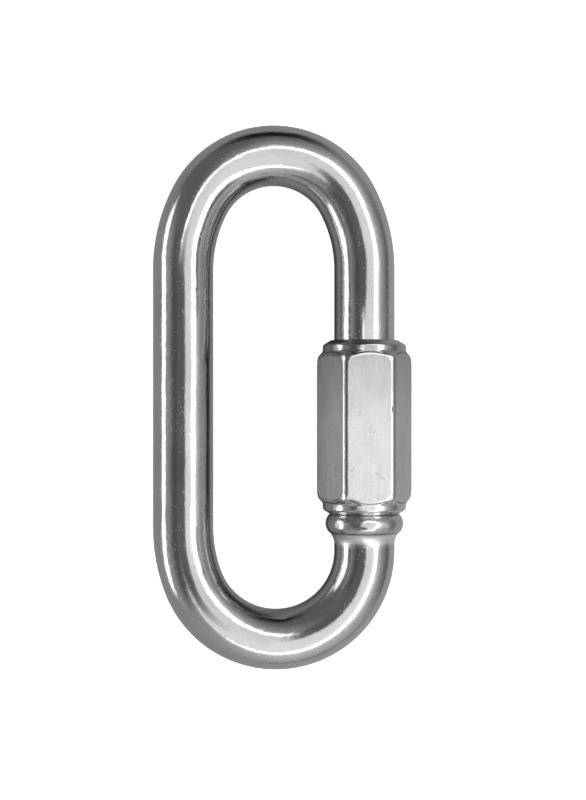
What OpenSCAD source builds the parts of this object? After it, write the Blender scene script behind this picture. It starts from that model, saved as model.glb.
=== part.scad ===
// Chain quick link: a bent round bar with a gate in one limb, closed by a hexagonal sleeve nut.
// The link lies on its side: Y runs along the loop, X from the plain limb to the nut, Z up from the table.

/* [Loop] */
// Diameter of the round bar
bar_d = 10; // [9:0.25:11]
// Clear length inside the loop, from crown to crown
inside_length = 70; // [66:1:80]
// Clear width inside the loop, from limb to limb
inside_width = 20; // [18:0.5:24]

/* [Bows] */
// How much taller the upper bow is than a half circle
upper_stretch = 3.8; // [2:0.1:5]
// How much tighter the upper crown is than a half circle
upper_ease = 1.2; // [0.6:0.1:2]
// How much taller the lower bow is than a half circle, beside the plain limb
lower_stretch = 3.2; // [2:0.1:5]
// How much tighter the lower crown is than a half circle, beside the plain limb
lower_ease = 0.7; // [0.4:0.1:2]

/* [Stop bead] */
// Straight bar between the lower bow and the bead's fillet
bead_offset = 2.15; // [1:0.05:3]
// How far the bead stands out of the bar
bead_rise = 1.45; // [1.2:0.05:1.6]
// Length of the bead along the bar
bead_length = 3; // [2.6:0.1:3.4]
// Radius of the bead's bulging face, seen in section
bead_bulge_r = 2.15; // [1.8:0.05:2.6]

/* [Gate] */
// Clear gap between the two tips of the bar
gate_gap = 11; // [10.5:0.5:12]
// Length of the lower tip, from the bead's seat to its end
lower_tip_length = 4; // [3:0.5:6]
// Chamfer on the end of each tip
tip_chamfer = 0.8; // [0.4:0.1:1.5]

/* [Sleeve nut] */
// Length of the nut from end to end
nut_length = 28.8; // [26:0.2:32]
// Wall of the nut between its bore and its flats
nut_wall = 1.9; // [1.7:0.1:3]
// Gap all round between the bar and the nut's bore
bore_clearance = 0.1; // [0.05:0.01:0.15]
// How much is turned off the six long edges
edge_trim = 0.18; // [0.06:0.02:0.4]
// Length of the round shoulder at each end
shoulder_length = 1.1; // [0.6:0.1:2]
// How far the shoulders stand in from the flats
shoulder_step = 0.1; // [0.05:0.05:0.4]
// Length of the cone on each end, along the nut
end_cone_length = 0.8; // [0.4:0.1:1.5]
// Width of the flat lip between the cone and the bore's mouth
end_lip = 0.2; // [0.1:0.05:0.4]
// Length of the tapered mouth at each end of the bore
mouth_length = 2; // [1:0.1:3]
// How much the mouth opens out past the bore
mouth_flare = 0.3; // [0.2:0.05:0.5]

/* [Hidden] */
$fn = 96;

// The loop's centre line, measured from its middle
bar_r = bar_d / 2;
limb_x = inside_width / 2 + bar_r;
crown_y = inside_length / 2 + bar_r;
upper_limb_end_y = crown_y - limb_x - upper_stretch;
// The lower crown runs straight into the gate limb, so it sits a little towards the gate
lower_crown_x = lower_ease / 2;
lower_crown_r = limb_x - lower_crown_x;
lower_half_width = limb_x + lower_crown_x;
lower_limb_end_y = -crown_y + lower_half_width + lower_stretch;
lower_gate_end_y = -crown_y + lower_crown_r;
// Each slack bend stops this short of its neighbours, and a ball this much fuller than the bar joins them
joint_gap = 0.1;
joint_swell = 0.01;

// The stop bead: a bulging ring with flat ends and a fillet below
bead_r = bar_r + bead_rise;
bead_face_r = bead_r - bead_bulge_r + sqrt(bead_bulge_r ^ 2 - (bead_length / 2) ^ 2);
// The fillet runs this deep into the bar, so that the two meet cleanly
fillet_dip = 0.03;
bead_fillet_r = bead_face_r - bar_r + fillet_dip;
bead_y = lower_gate_end_y + bead_offset + bead_fillet_r;
seat_y = bead_y + bead_length;

// The gate between the tips, hidden in the nut while it is closed
lower_tip_y = seat_y + lower_tip_length;
upper_tip_y = lower_tip_y + gate_gap;

// The nut's radii, worked out from the bar that passes through it
bore_r = bar_r + bore_clearance;
flat_r = bore_r + nut_wall;
hexagon_r = flat_r / cos(30);
nut_corner_r = hexagon_r - edge_trim;
shoulder_r = flat_r - shoulder_step;
mouth_r = bore_r + mouth_flare;
end_r = mouth_r + end_lip;
hex_start = end_cone_length + shoulder_length;
// The cut at 45 degrees that takes the hexagon's corners down to the shoulder
corner_cut = nut_corner_r - shoulder_r;

// At rest one flat of the nut and the plain limb touch the table, so the loop leans a little
rest_r = bar_r + joint_swell;
lean = asin((flat_r - rest_r) / (2 * limb_x));
rest_z = (flat_r + rest_r) / 2;
rest_x = -(nut_corner_r - rest_r) / 2;

// How much larger a flank's radius is than the half width that it closes, and the angle that it turns through
function flank_slack(stretch, ease) = stretch + stretch ^ 2 / (2 * ease);
function flank_sweep(stretch, ease) = atan2(stretch + ease, flank_slack(stretch, ease));

// Turns a shape drawn in the loop's own plane into the way the link lies
module laid_down() {
    translate([rest_x, 0, rest_z]) rotate([0, -lean, 0]) children();
}

// Stands a shape that was drawn along Z on the gate limb's axis, at height y
module on_gate_limb(y) {
    translate([limb_x, y, 0]) rotate([-90, 0, 0]) children();
}

// A bend of the bar about Z, between two angles
module bar_bend(radius, from, to) {
    rotate(from) rotate_extrude(angle = to - from) translate([radius, 0]) circle(r = bar_r);
}

// The ball that closes a joint of two bends, at an angle about Z
module joint_ball(radius, turn) {
    rotate(turn) translate([radius, 0]) sphere(r = bar_r + joint_swell);
}

// The slack bend between a limb on the +X side and the crown, about the crown's centre
module flank(half_width, stretch, ease) {
    radius = half_width + flank_slack(stretch, ease);
    sweep = flank_sweep(stretch, ease);
    trim = joint_gap / radius * 180 / PI;
    translate([half_width - radius, -stretch - ease]) {
        bar_bend(radius, trim, sweep - trim);
        joint_ball(radius, 0);
        joint_ball(radius, sweep);
    }
}

// The upper bow: a crown between two slack flanks
module upper_bow() {
    sweep = flank_sweep(upper_stretch, upper_ease);
    translate([0, crown_y - limb_x + upper_ease]) {
        bar_bend(limb_x - upper_ease, sweep, 180 - sweep);
        for (side = [0, 1]) mirror([side, 0, 0]) flank(limb_x, upper_stretch, upper_ease);
    }
}

// The lower bow: a crown that runs straight into the gate limb and eases into the plain one
module lower_bow() {
    sweep = flank_sweep(lower_stretch, lower_ease);
    trim = joint_gap / lower_crown_r * 180 / PI;
    mirror([0, 1, 0]) translate([lower_crown_x, crown_y - lower_crown_r]) {
        bar_bend(lower_crown_r, trim, 180 - sweep);
        joint_ball(lower_crown_r, 0);
        mirror([1, 0, 0]) flank(lower_half_width, lower_stretch, lower_ease);
    }
}

module plain_limb() {
    translate([-limb_x, lower_limb_end_y]) rotate([-90, 0, 0])
        cylinder(r = bar_r, h = upper_limb_end_y - lower_limb_end_y);
}

// A straight stretch of bar along Z that ends in a chamfered tip
module tipped_bar(length) {
    rotate_extrude() polygon([
        [0, 0],
        [bar_r, 0],
        [bar_r, length - tip_chamfer],
        [bar_r - tip_chamfer, length],
        [0, length]
    ]);
}

// The ring that stops the nut, with the fillet that runs it into the bar below
module stop_bead() {
    rotate_extrude() {
        intersection() {
            translate([bead_r - bead_bulge_r, bead_length / 2]) circle(r = bead_bulge_r);
            square([bead_r, bead_length]);
        }
        square([bead_r - bead_bulge_r, bead_length]);
        difference() {
            translate([0, -bead_fillet_r]) square([bead_face_r, bead_fillet_r]);
            translate([bead_face_r, -bead_fillet_r]) circle(r = bead_fillet_r);
        }
    }
}

module link_bar() {
    color("silver") laid_down() {
        plain_limb();
        upper_bow();
        lower_bow();
        on_gate_limb(lower_gate_end_y) tipped_bar(lower_tip_y - lower_gate_end_y);
        on_gate_limb(bead_y) stop_bead();
        on_gate_limb(upper_limb_end_y) mirror([0, 0, 1]) tipped_bar(upper_limb_end_y - upper_tip_y);
    }
}

// One end of the nut's turned outline, from the lip to the hexagon's long edges: radius, then height
function turned_end() = [
    [end_r, 0],
    [shoulder_r, end_cone_length],
    [shoulder_r, hex_start],
    [nut_corner_r, hex_start + corner_cut]
];

// What is left of the hexagonal bar when it is turned: cone, shoulder and corner cut at both ends
module turned_outline() {
    near = turned_end();
    far = [for (i = [len(near) - 1:-1:0]) [near[i].x, nut_length - near[i].y]];
    rotate_extrude() polygon(concat([[0, 0]], near, far, [[0, nut_length]]));
}

module bore_mouth() {
    cylinder(r1 = mouth_r, r2 = bore_r, h = mouth_length);
}

module sleeve_nut() {
    color("gainsboro") laid_down() on_gate_limb(seat_y) rotate([0, 0, lean]) difference() {
        intersection() {
            cylinder(r = hexagon_r, h = nut_length, $fn = 6);
            turned_outline();
        }
        cylinder(r = bore_r, h = nut_length);
        bore_mouth();
        translate([0, 0, nut_length]) mirror([0, 0, 1]) bore_mouth();
    }
}

link_bar();
sleeve_nut();
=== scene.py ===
"""Looks of a chain quick link: a bent, polished bar and the hexagonal sleeve nut that closes its gate.

Shapes are worked out in millimetres in the loop's own plane: X from the plain limb to the nut, Y along the
loop, Z out of the loop. Lie.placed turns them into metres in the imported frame.
"""

import logging
from dataclasses import dataclass, field
from enum import Enum
from typing import NamedTuple, Optional, Union

import bpy
import numpy as np
from mathutils import Matrix, Vector


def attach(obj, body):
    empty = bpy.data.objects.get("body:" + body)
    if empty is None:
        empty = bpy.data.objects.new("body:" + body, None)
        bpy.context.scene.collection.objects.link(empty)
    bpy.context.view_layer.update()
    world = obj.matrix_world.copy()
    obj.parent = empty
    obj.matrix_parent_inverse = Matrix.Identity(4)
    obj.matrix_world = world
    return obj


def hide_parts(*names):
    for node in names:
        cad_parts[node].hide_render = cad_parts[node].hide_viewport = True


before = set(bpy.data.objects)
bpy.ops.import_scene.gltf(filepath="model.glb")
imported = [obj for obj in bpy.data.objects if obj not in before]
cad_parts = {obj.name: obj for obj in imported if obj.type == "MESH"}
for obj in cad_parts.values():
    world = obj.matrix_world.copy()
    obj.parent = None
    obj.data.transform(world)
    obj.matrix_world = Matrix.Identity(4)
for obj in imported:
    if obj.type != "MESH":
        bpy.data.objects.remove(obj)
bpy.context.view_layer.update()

log = logging.getLogger("quick_link")

MM = 0.001
FULL_TURN = 2 * np.pi
SIXTH_TURN = np.pi / 3
TINY = 1e-6

# Share of a side that the rounding of a corner may take up
LONGEST_CUT = 0.45

# Sizes that more than one piece needs, in millimetres
LIMB_X = 15.0
FLAT_R = 7.0
CORNER_R = 7.903
LOWER_TIP_Y = -15.33
STUB_LENGTH = 4.0

Value = Union[float, bpy.types.NodeSocket]


class Span(NamedTuple):
    """Two values: where something starts and ends, or what it goes from and to."""

    start: float
    end: float


# What a cloudy pattern mostly lies between
CLOUDY = Span(0.3, 0.7)


class Body(Enum):
    """The bodies that the pieces ride on."""

    LINK = "link"
    NUT = "nut"


class Slot(Enum):
    """The record's material slots."""

    BAR = "polished_bar"
    NUT = "satin_nut"


class Mark(Enum):
    """Attributes that the meshes carry for their finishes."""

    STRAIGHT = "straight_bar"
    FORGED = "forged"
    MATT = "matt"
    # Where shade is painted into a crease: at the bar's bead and in the nut's grooves
    CREASE_SHADE = "crease"
    POLISH = "polish"
    COVER = "cover"


class Ends(Enum):
    """How the first and the last row of a skin are closed."""

    JOINED = "the last row joins the first"
    CAPPED = "each end row has a fan of triangles to its middle"
    OPEN = "both end rows are left open"


@dataclass(frozen=True)
class Lie:
    """How the link lies: on the plain limb and on one flat of the nut, with the loop leaning a little."""

    limb_x: float = LIMB_X
    flat_r: float = FLAT_R
    limb_r: float = 5.01
    corner_r: float = CORNER_R

    @property
    def lean(self) -> float:
        """Angle between the loop and the table, in radians."""
        return float(np.arcsin((self.flat_r - self.limb_r) / (2 * self.limb_x)))

    def placed(self, points: np.ndarray) -> np.ndarray:
        """Turns the loop about Y by its lean, sets it on the table and goes over to metres.

        Args:
            points: loop coordinates in millimetres, with X, Y, Z on the last axis.

        Returns:
            Frame coordinates in metres, in the same layout.
        """
        x, y, z = np.moveaxis(points, -1, 0)
        cos, sin = np.cos(self.lean), np.sin(self.lean)
        east = x * cos - z * sin - (self.corner_r - self.limb_r) / 2
        up = x * sin + z * cos + (self.flat_r + self.limb_r) / 2
        return np.stack((east, y, up), axis=-1) * MM


@dataclass(frozen=True)
class Thread:
    """A right-hand rolled thread about the gate limb's axis."""

    pitch: float = 1.5
    crest_share: float = 0.16
    root_share: float = 0.2

    def ridge(self, y: np.ndarray, dx: np.ndarray, dz: np.ndarray) -> np.ndarray:
        """Height of the thread, 0 in its root and 1 on its crest.

        The phase is the height along Y in pitches, less the turn about Y. Across one pitch the height is a
        triangle wave with its top and bottom cut flat and the corners eased.

        Args:
            y: heights along the limb.
            dx: offsets from the axis along X.
            dz: offsets from the axis along Z.

        Returns:
            Heights from 0 to 1, in the arrays' common shape.
        """
        phase = y / self.pitch - np.arctan2(dx, dz) / FULL_TURN
        wave = 1 - np.abs(2 * (phase % 1.0) - 1)
        return eased(wave, self.root_share, 1 - self.crest_share)


def eased(value: np.ndarray, low: float, high: float) -> np.ndarray:
    """Smooth step from 0 at low to 1 at high, with low above high for a falling step.

    Args:
        value: where the step is read.
        low: value at which the step is 0.
        high: value at which the step is 1.

    Returns:
        The step, in the shape of value.
    """
    rise = np.clip((value - low) / (high - low), 0, 1)
    return rise * rise * (3 - 2 * rise)


def eased_least(a: np.ndarray, b: np.ndarray, width: float) -> np.ndarray:
    """The lesser of two heights, with the corner where they cross rounded off over a width.

    Args:
        a: first heights.
        b: second heights.
        width: difference of heights at which the rounding starts.

    Returns:
        The rounded least, never above either.
    """
    near = np.clip(width - np.abs(a - b), 0, None) / width
    return np.minimum(a, b) - near * near * width / 4


def rounded(corners: np.ndarray, radius: float, steps: int = 5) -> np.ndarray:
    """Cuts each inner corner of an outline with a parabola that starts and ends radius from the corner.

    Args:
        corners: outline points, one row each.
        radius: distance from a corner at which its rounding starts, at most LONGEST_CUT of the shorter side.
        steps: points on each rounding.

    Returns:
        The longer list of points.
    """
    before, at, after = corners[:-2], corners[1:-1], corners[2:]
    back = np.linalg.norm(before - at, axis=1)
    ahead = np.linalg.norm(after - at, axis=1)
    cut = np.minimum(radius, LONGEST_CUT * np.minimum(back, ahead))
    start = at + (before - at) * (cut / back)[:, None]
    end = at + (after - at) * (cut / ahead)[:, None]
    t = np.linspace(0, 1, steps)[None, :, None]
    arcs = start[:, None] * (1 - t) ** 2 + 2 * at[:, None] * t * (1 - t) + end[:, None] * t ** 2
    return np.concatenate((corners[:1], arcs.reshape(-1, corners.shape[1]), corners[-1:]))


def stepped(outline: np.ndarray, longest: float) -> np.ndarray:
    """Adds points to an outline until no side is longer than a given length.

    Args:
        outline: outline points, one row each.
        longest: longest side that is left.

    Returns:
        The outline with its old points and the new ones between them.
    """
    sides = np.linalg.norm(np.diff(outline, axis=0), axis=1)
    at = np.concatenate(([0.0], np.cumsum(sides)))
    parts = np.maximum(np.ceil(sides / longest).astype(int), 1)
    inner = [np.linspace(a, b, n, endpoint=False) for a, b, n in zip(at[:-1], at[1:], parts)]
    read = np.append(np.concatenate(inner), at[-1])
    return np.stack([np.interp(read, at, column) for column in outline.T], axis=1)


def skin(name: str, grid: np.ndarray, ends: Ends) -> bpy.types.Object:
    """Makes a mesh from a grid of points whose columns run round a bar, a bore or a card.

    Each cell is one quad and the last column joins the first.

    Args:
        name: name of the piece.
        grid: points in metres, rows by columns by 3.
        ends: how the end rows are closed.

    Returns:
        The linked object, at the origin.
    """
    rows, columns = grid.shape[:2]
    number = np.arange(rows * columns).reshape(rows, columns)
    number = np.concatenate((number, number[:, :1]), axis=1)
    if ends is Ends.JOINED:
        number = np.concatenate((number, number[:1]), axis=0)
    quads = np.stack((number[:-1, :-1], number[:-1, 1:], number[1:, 1:], number[1:, :-1]), axis=-1)
    points = grid.reshape(-1, 3)
    faces = quads.reshape(-1, 4).tolist()
    if ends is Ends.CAPPED:
        first, last = rows * columns, rows * columns + 1
        points = np.concatenate((points, grid[:1].mean(axis=1), grid[-1:].mean(axis=1)))
        fans = (
            (number[0, 1:], number[0, :-1], first),
            (number[-1, :-1], number[-1, 1:], last),
        )
        for a, b, pole in fans:
            faces += np.stack((a, b, np.full_like(a, pole)), axis=-1).tolist()
    mesh = bpy.data.meshes.new(name)
    mesh.from_pydata(points, [], faces)
    mesh.polygons.foreach_set("use_smooth", np.ones(len(mesh.polygons), dtype=bool))
    mesh.update()
    piece = bpy.data.objects.new(name, mesh)
    bpy.context.scene.collection.objects.link(piece)
    return piece


def mark(piece: bpy.types.Object, name: Mark, values: np.ndarray) -> None:
    """Stores one number or one vector for each point of a mesh.

    Args:
        piece: the piece whose mesh is marked.
        name: name of the attribute.
        values: rows by columns, or rows by columns by 3; poles repeat the last point.
    """
    mesh = piece.data
    vector = values.ndim == 3
    flat = values.reshape(-1, 3) if vector else values.reshape(-1)
    spare = len(mesh.vertices) - len(flat)
    flat = np.concatenate((flat, np.repeat(flat[-1:], spare, axis=0)))
    layer = mesh.attributes.new(name.value, "FLOAT_VECTOR" if vector else "FLOAT", "POINT")
    layer.data.foreach_set("vector" if vector else "value", flat.astype(np.float32).ravel())


@dataclass(frozen=True)
class Flank:
    """The slack bend between a limb and a crown tighter than a half circle; with no ease there is none."""

    stretch: float = 0.0
    ease: float = 0.0

    @property
    def slack(self) -> float:
        """How much larger than the half width its radius is, if it is tangent to the limb and the crown."""
        return self.stretch + self.stretch ** 2 / (2 * self.ease) if self.ease else 0.0

    @property
    def sweep(self) -> float:
        """Angle that it turns through, in radians."""
        return float(np.arctan2(self.stretch + self.ease, self.slack))


@dataclass(frozen=True)
class Bow:
    """One end of the loop: a crown between two flanks, which sits off the middle if they differ."""

    gate: Flank
    plain: Flank

    def half_widths(self, limb_x: float) -> tuple[float, float]:
        """Distances from the crown's centre to the gate limb and to the plain one."""
        shift = (self.plain.ease - self.gate.ease) / 2
        return limb_x - shift, limb_x + shift

    def heights(self, limb_x: float) -> tuple[float, float]:
        """Heights of the bow over the ends of the gate limb and of the plain one."""
        gate_width, plain_width = self.half_widths(limb_x)
        return gate_width + self.gate.stretch, plain_width + self.plain.stretch

    def bends(self, limb_x: float) -> list[tuple[float, float]]:
        """The bow's three arcs.

        Args:
            limb_x: distance of either limb from the middle of the loop.

        Returns:
            Radius and sweep of the gate flank, of the crown and of the plain flank.
        """
        gate_width, plain_width = self.half_widths(limb_x)
        return [
            (gate_width + self.gate.slack, self.gate.sweep),
            (gate_width - self.gate.ease, np.pi - self.gate.sweep - self.plain.sweep),
            (plain_width + self.plain.slack, self.plain.sweep),
        ]


@dataclass(frozen=True)
class Route:
    """Centre line of the bar: from the lower tip, round the lower bow, the plain limb and the upper bow."""

    limb_x: float = LIMB_X
    crown_y: float = 40.0
    lower: Bow = Bow(gate=Flank(), plain=Flank(stretch=3.2, ease=0.7))
    upper: Bow = Bow(gate=Flank(stretch=3.8, ease=1.2), plain=Flank(stretch=3.8, ease=1.2))
    lower_tip_y: float = LOWER_TIP_Y
    upper_tip_y: float = -4.33

    def legs(self) -> np.ndarray:
        """Length and curvature of each leg, in order; every bend turns the same way.

        Returns:
            One row for each leg: length in millimetres, curvature in radians per millimetre.
        """
        bends = self.lower.bends(self.limb_x) + self.upper.bends(self.limb_x)[::-1]
        arcs = [(radius * sweep, -1 / radius) for radius, sweep in bends]
        low_gate, low_plain = self.lower.heights(self.limb_x)
        up_gate, up_plain = self.upper.heights(self.limb_x)
        lower_limb = self.lower_tip_y + self.crown_y - low_gate
        plain_limb = 2 * self.crown_y - low_plain - up_plain
        upper_limb = self.crown_y - up_gate - self.upper_tip_y
        return np.array([(lower_limb, 0.0), *arcs[:3], (plain_limb, 0.0), *arcs[3:], (upper_limb, 0.0)])

    @property
    def length(self) -> float:
        """Length of the whole centre line."""
        return float(self.legs()[:, 0].sum())

    def along(self, s: np.ndarray) -> tuple[np.ndarray, np.ndarray]:
        """Points of the centre line and the directions that lie across it in the loop's plane.

        On a leg the heading changes by curvature times length; the point moves by the heading's sine and
        cosine, integrated, which is a straight step on a straight leg.

        Args:
            s: distances from the lower tip.

        Returns:
            Points and outward directions, both with X, Y, Z on the last axis.
        """
        legs = self.legs()
        ends = np.cumsum(legs[:, 0])
        starts = ends - legs[:, 0]
        headings = -np.pi / 2 + np.concatenate(([0.0], np.cumsum(legs[:, 0] * legs[:, 1])[:-1]))
        corners = [np.array([self.limb_x, self.lower_tip_y])]
        for (length, curve), heading in zip(legs[:-1], headings[:-1]):
            corners.append(corners[-1] + self.stride(heading, curve, length))
        leg = np.clip(np.searchsorted(ends, s), 0, len(legs) - 1)
        walked = s - starts[leg]
        moved = self.stride(headings[leg], legs[leg, 1], walked)
        points = np.array(corners)[leg] + moved
        heading = headings[leg] + legs[leg, 1] * walked
        flat = np.zeros_like(s)
        outward = np.stack((-np.sin(heading), np.cos(heading), flat), axis=-1)
        return np.concatenate((points, flat[:, None]), axis=-1), outward

    @staticmethod
    def stride(heading: np.ndarray, curve: np.ndarray, length: np.ndarray) -> np.ndarray:
        """Step along a leg: the heading's cosine and sine integrated over the length.

        Args:
            heading: direction at the start of the leg, in radians.
            curve: curvature of the leg, 0 for a straight one.
            length: distance walked on the leg.

        Returns:
            X and Y of the step, on the last axis.
        """
        is_straight = np.asarray(np.abs(curve) < TINY)
        bend = np.where(is_straight, 1.0, curve)
        turned = heading + bend * length
        bent = np.stack((np.sin(turned) - np.sin(heading), np.cos(heading) - np.cos(turned)), axis=-1)
        straight = np.stack((np.cos(heading), np.sin(heading)), axis=-1) * np.asarray(length)[..., None]
        return np.where(is_straight[..., None], straight, bent / bend[..., None])


@dataclass(frozen=True)
class Pattern:
    """A cloudy pattern: clouds to each unit, octaves and their strength, and how its axes are stretched."""

    per_unit: float
    detail: float = 2.0
    rough: float = 0.5
    stretch: tuple[float, float, float] = (1.0, 1.0, 1.0)


class Wires:
    """Adds nodes to one tree and joins them, so that a finish reads as a list of sums."""

    def __init__(self, tree: bpy.types.NodeTree) -> None:
        """Starts on an emptied tree."""
        self.tree = tree
        tree.nodes.clear()

    def feed(self, socket: bpy.types.NodeSocket, value: object) -> None:
        """Joins a socket to another one, or sets its own value.

        Args:
            socket: the input that is fed.
            value: another node's output, or a value.
        """
        if isinstance(value, bpy.types.NodeSocket):
            self.tree.links.new(value, socket)
        else:
            socket.default_value = value

    def add(self, kind: str, inputs: dict, **settings: object) -> bpy.types.Node:
        """Adds one node.

        Args:
            kind: Blender's name for the node.
            inputs: values or sockets for its inputs, by input name or number.
            settings: its own settings.

        Returns:
            The node.
        """
        node = self.tree.nodes.new(kind)
        for key, value in settings.items():
            setattr(node, key, value)
        for key, value in inputs.items():
            self.feed(node.inputs[key], value)
        return node

    def attribute(self, name: Mark, output: str = "Fac") -> bpy.types.NodeSocket:
        """What a mesh carries under a mark's name."""
        return self.add("ShaderNodeAttribute", {}, attribute_name=name.value).outputs[output]

    def sum(self, operation: str, *values: Value) -> bpy.types.NodeSocket:
        """One Math node over the given values."""
        return self.add("ShaderNodeMath", dict(enumerate(values)), operation=operation).outputs[0]

    def step(self, value: Value, low: float, high: float) -> bpy.types.NodeSocket:
        """Smooth step from 0 at low to 1 at high, with low above high for a falling step.

        Args:
            value: where the step is read.
            low: value at which the step is 0.
            high: value at which the step is 1.

        Returns:
            The step.
        """
        rising = low < high
        inputs = {
            "Value": value,
            "From Min": low if rising else high,
            "From Max": high if rising else low,
            "To Min": 0.0 if rising else 1.0,
            "To Max": 1.0 if rising else 0.0,
        }
        return self.add("ShaderNodeMapRange", inputs, interpolation_type="SMOOTHSTEP").outputs[0]

    def ramp(self, value: Value, low: float, high: float, start: float, end: float) -> bpy.types.NodeSocket:
        """Straight run from start at low to end at high, held level outside."""
        inputs = {"Value": value, "From Min": low, "From Max": high, "To Min": start, "To Max": end}
        return self.add("ShaderNodeMapRange", inputs, interpolation_type="LINEAR").outputs[0]

    def band(self, value: Value, low: float, high: float, soft: float) -> bpy.types.NodeSocket:
        """1 between low and high, falling to 0 over soft on either side."""
        return self.sum("MULTIPLY", self.step(value, low - soft, low), self.step(value, high + soft, high))

    def mix(self, start: Value, end: Value, share: Value) -> bpy.types.NodeSocket:
        """Goes over from one value to another.

        Args:
            start: the value at share 0.
            end: the value at share 1.
            share: how far it has gone over.

        Returns:
            The value between them.
        """
        node = self.add("ShaderNodeMix", {"Factor": share}, data_type="FLOAT")
        self.feed(node.inputs["A"], start)
        self.feed(node.inputs["B"], end)
        return node.outputs["Result"]

    def scaled(self, vector: Value, scale: tuple[float, float, float]) -> bpy.types.NodeSocket:
        """A vector with each part multiplied by its own number."""
        return self.add("ShaderNodeVectorMath", {0: vector, 1: scale}, operation="MULTIPLY").outputs[0]

    def noise(self, at: Value, pattern: Pattern) -> bpy.types.NodeSocket:
        """A cloudy pattern, read at a place.

        Args:
            at: the place.
            pattern: the pattern's scale, detail and stretch.

        Returns:
            Values from 0 to 1.
        """
        inputs = {
            "Vector": self.scaled(at, pattern.stretch),
            "Scale": pattern.per_unit,
            "Detail": pattern.detail,
            "Roughness": pattern.rough,
        }
        return self.add("ShaderNodeTexNoise", inputs).outputs[0]

    def relief(self, *layers: tuple[Value, float]) -> bpy.types.NodeSocket:
        """Lays bumps over one another.

        Args:
            layers: height of each bump, from 0 to 1, and its full depth in metres.

        Returns:
            The normal of the surface that they leave.
        """
        normal: Optional[bpy.types.NodeSocket] = None
        for height, depth in layers:
            inputs = {"Height": height, "Distance": depth, "Strength": 1.0}
            if normal is not None:
                inputs["Normal"] = normal
            normal = self.add("ShaderNodeBump", inputs).outputs[0]
        return normal

    def greyed(self, shade: Value) -> bpy.types.NodeSocket:
        """A grey of the given shade."""
        return self.add("ShaderNodeCombineColor", {0: shade, 1: shade, 2: shade}).outputs[0]

    def metal(self, shade: Value, dull: Value, normal: Value) -> None:
        """Ends a material's tree in bare metal.

        Args:
            shade: its grey.
            dull: its roughness.
            normal: its relief.
        """
        inputs = {"Base Color": self.greyed(shade), "Metallic": 1.0, "Roughness": dull, "Normal": normal}
        shader = self.add("ShaderNodeBsdfPrincipled", inputs)
        self.add("ShaderNodeOutputMaterial", {"Surface": shader.outputs[0]})


class Speck(NamedTuple):
    """One layer of round specks: cells to the millimetre, and a speck's radius in cells."""

    per_mm: float
    radius: float


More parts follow.
